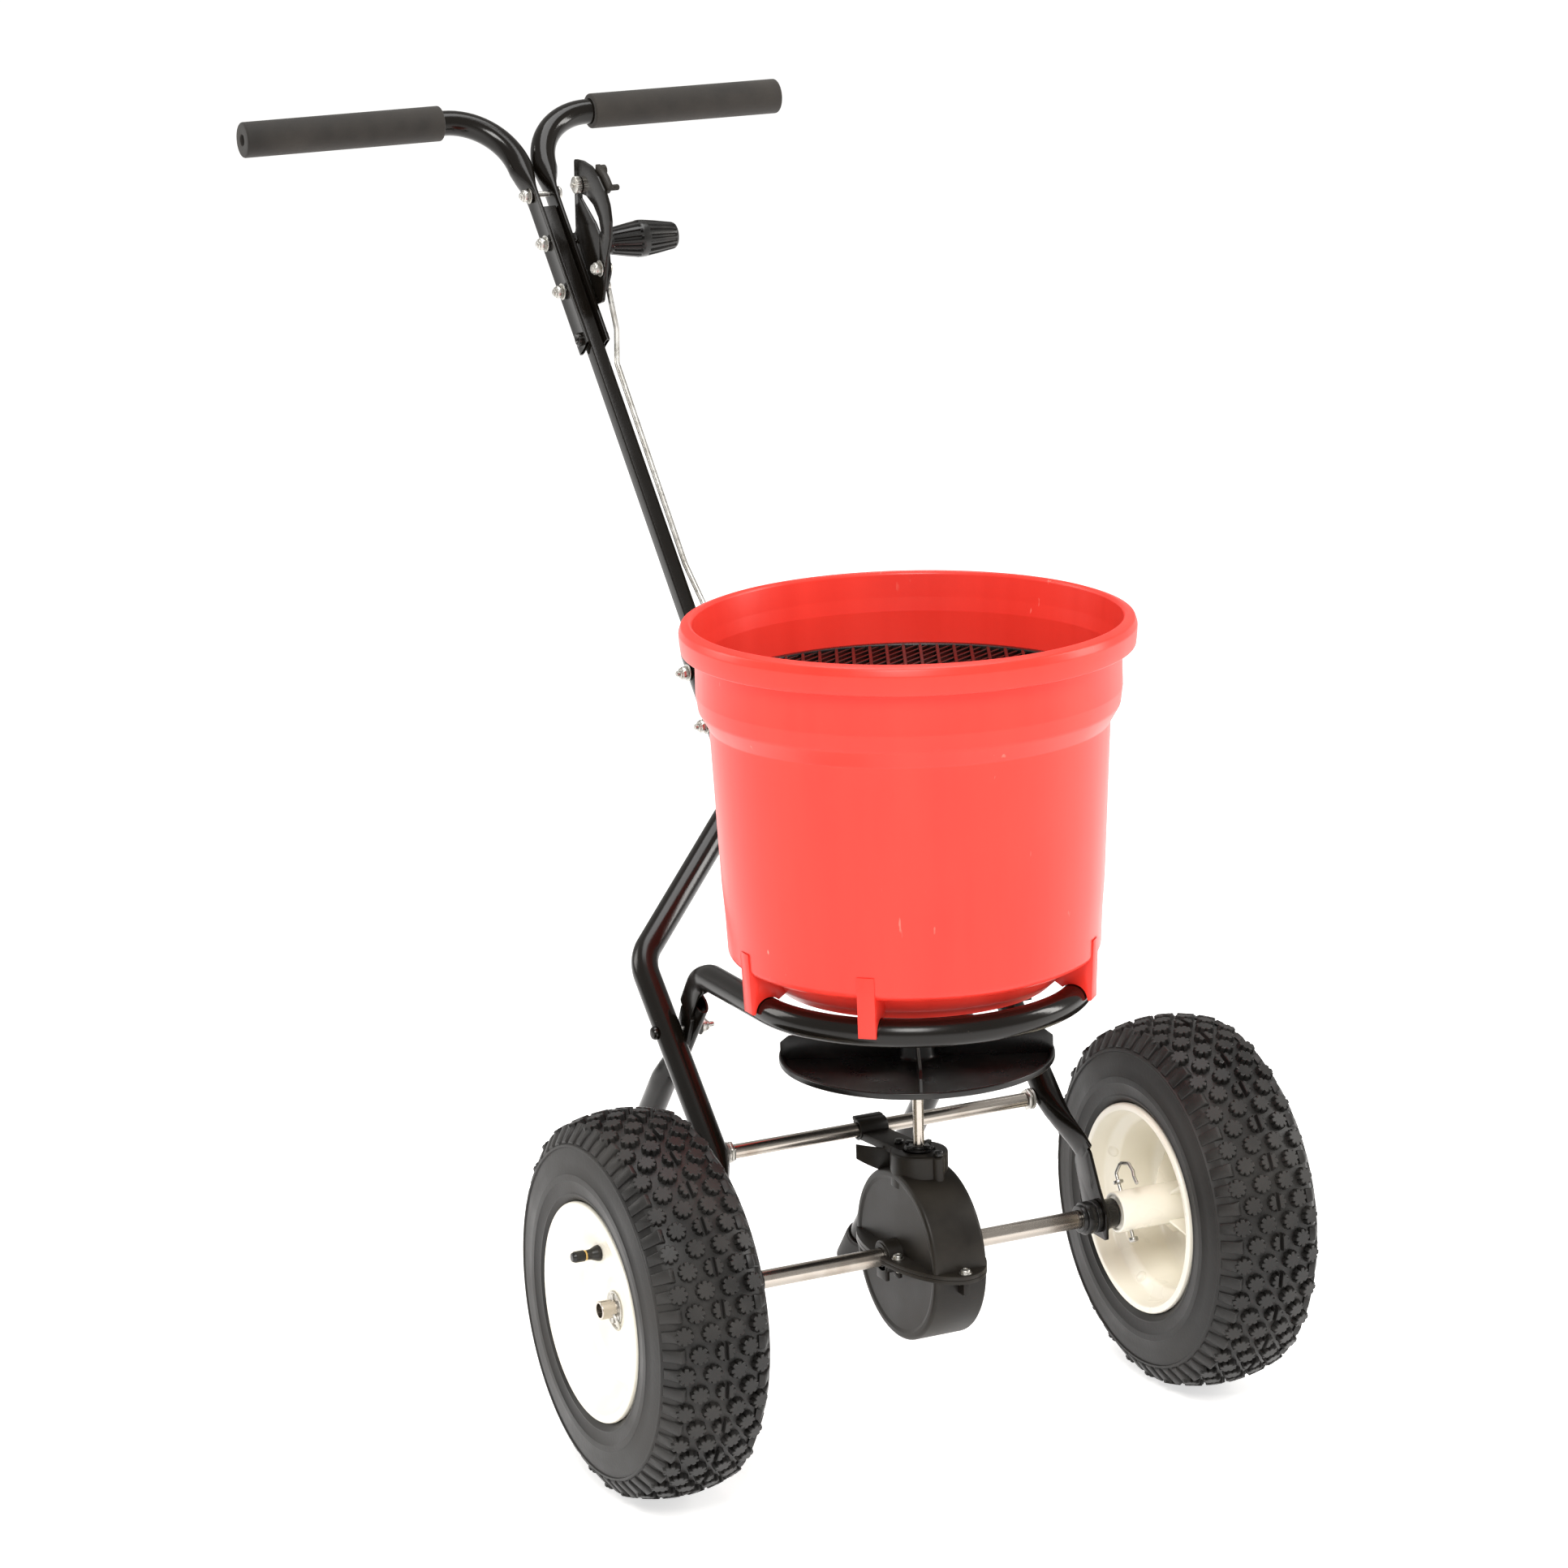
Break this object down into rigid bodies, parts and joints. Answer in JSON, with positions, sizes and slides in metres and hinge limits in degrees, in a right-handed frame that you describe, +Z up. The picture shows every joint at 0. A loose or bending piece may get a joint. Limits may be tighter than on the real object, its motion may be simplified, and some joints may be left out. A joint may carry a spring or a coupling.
{
  "type": "walk-behind broadcast spreader",
  "caption": "Walk-behind broadcast spreader: round hopper on a tubular frame, pneumatic wheels on a live axle, geared impeller, rate lever with rod, and foam-covered T handle.",
  "frame": {"origin": "centre of the bounding box in plan, at ground level", "axes": "+X along the wheel axle towards the lever's side, +Y from the hopper towards the operator's grips, +Z up"},
  "size_m": [0.6296, 1.0108, 1.0807],
  "materials": {
    "black_paint": "gloss powder coat",
    "red_plastic": "satin moulded polyethylene",
    "dark_plastic": "matt moulded",
    "gloss_black_plastic": "gloss moulded",
    "foam": "closed-cell foam",
    "black_rubber": "matt",
    "cream_paint": "gloss paint",
    "bright_steel": "bright drawn",
    "zinc_plate": "zinc plated",
    "black_nylon": "moulded nylon"
  },
  "bodies": {
    "frame": {"stand_hoop": "black_paint", "stand_leg_left": "black_paint", "stand_leg_right": "black_paint", "side_tube_left": "black_paint", "side_tube_right": "black_paint", "main_tube": "black_paint", "handle_tube_left": "black_paint", "handle_tube_right": "black_paint", "gauge_plate": "black_paint", "foot_cap_left": "black_rubber", "foot_cap_right": "black_rubber", "grip_left": "foam", "grip_right": "foam", "handle_bolt_1": "zinc_plate", "handle_bolt_2": "zinc_plate", "handle_bolt_3": "zinc_plate", "frame_bolt_1": "zinc_plate", "frame_bolt_2": "zinc_plate", "stand_bolt_left": "zinc_plate", "stand_bolt_right": "zinc_plate", "cross_rod_nut_left": "zinc_plate", "cross_rod_nut_right": "zinc_plate", "case_screw_1": "zinc_plate", "case_screw_2": "zinc_plate", "case_screw_3": "zinc_plate", "case_screw_4": "zinc_plate", "lever_pivot_bolt": "zinc_plate", "cross_rod": "bright_steel", "hopper": "red_plastic", "shutter_guide": "dark_plastic", "gear_case_top": "dark_plastic", "gear_case_bottom": "dark_plastic", "shaft_bush": "black_nylon", "axle_bush_left_inner": "black_nylon", "axle_bush_left_outer": "black_nylon", "axle_bush_right_inner": "black_nylon", "axle_bush_right_outer": "black_nylon"},
    "drive_axle": {"axle_shaft": "bright_steel", "drive_gear": "dark_plastic", "rim_right": "cream_paint", "tyre_right": "black_rubber", "valve_stem_right": "black_rubber", "hitch_pin": "zinc_plate", "cotter_pin": "zinc_plate"},
    "free_wheel": {"rim_left": "cream_paint", "tyre_left": "black_rubber", "valve_stem_left": "black_rubber"},
    "impeller_spindle": {"impeller_shaft": "bright_steel", "pinion": "zinc_plate", "impeller": "gloss_black_plastic", "agitator": "zinc_plate"},
    "lever": {"rate_lever": "black_paint", "lever_grip": "dark_plastic"},
    "rod": {"control_rod": "zinc_plate"},
    "shutter_plate": {"shutter": "zinc_plate"},
    "stop_slider": {"rate_stop": "dark_plastic"},
    "thumb_nut": {"gauge_nut": "zinc_plate"},
    "screen": {"hopper_screen": "gloss_black_plastic"}
  },
  "joints": [
    {"name": "axle_spin", "type": "hinge", "parent": "frame", "child": "drive_axle", "pos_m": [0, -0.31335, 0.165], "axis": [1, 0, 0], "continuous": true},
    {"name": "free_wheel_spin", "type": "hinge", "parent": "frame", "child": "free_wheel", "pos_m": [-0.2628, -0.31335, 0.165], "axis": [1, 0, 0], "continuous": true},
    {"name": "impeller_spin", "type": "hinge", "parent": "frame", "child": "impeller_spindle", "pos_m": [0, -0.31335, 0.337], "axis": [0, 0, 1], "continuous": true},
    {"name": "lever_turn", "type": "hinge", "parent": "frame", "child": "lever", "pos_m": [0.0177, 0.32665, 0.937], "axis": [1, 0, 0], "range_deg": [0, 48]},
    {"name": "rod_slide", "type": "slide", "parent": "frame", "child": "rod", "axis": [0, 0.6521, 0.7581], "range_m": [0, 0.0125]},
    {"name": "shutter_slide", "type": "slide", "parent": "frame", "child": "shutter_plate", "axis": [0, 1, 0], "range_m": [0, 0.0185]},
    {"name": "stop_turn", "type": "hinge", "parent": "frame", "child": "stop_slider", "pos_m": [0.018, 0.34765, 0.986], "axis": [1, 0, 0], "range_deg": [-20, 20]},
    {"name": "thumb_nut_turn", "type": "hinge", "parent": "frame", "child": "thumb_nut", "pos_m": [0.008, 0.36865, 1.011], "axis": [1, 0, 0], "continuous": true},
    {"name": "screen_lift", "type": "slide", "parent": "frame", "child": "screen", "axis": [0, 0, 1], "range_m": [0, 0.15]}
  ],
  "couplings": [
    {"joint": "impeller_spin", "follows": "axle_spin", "ratio": -5},
    {"joint": "rod_slide", "follows": "lever_turn", "m_per_rad": 0.0146},
    {"joint": "shutter_slide", "follows": "lever_turn", "m_per_rad": 0.0215}
  ]
}
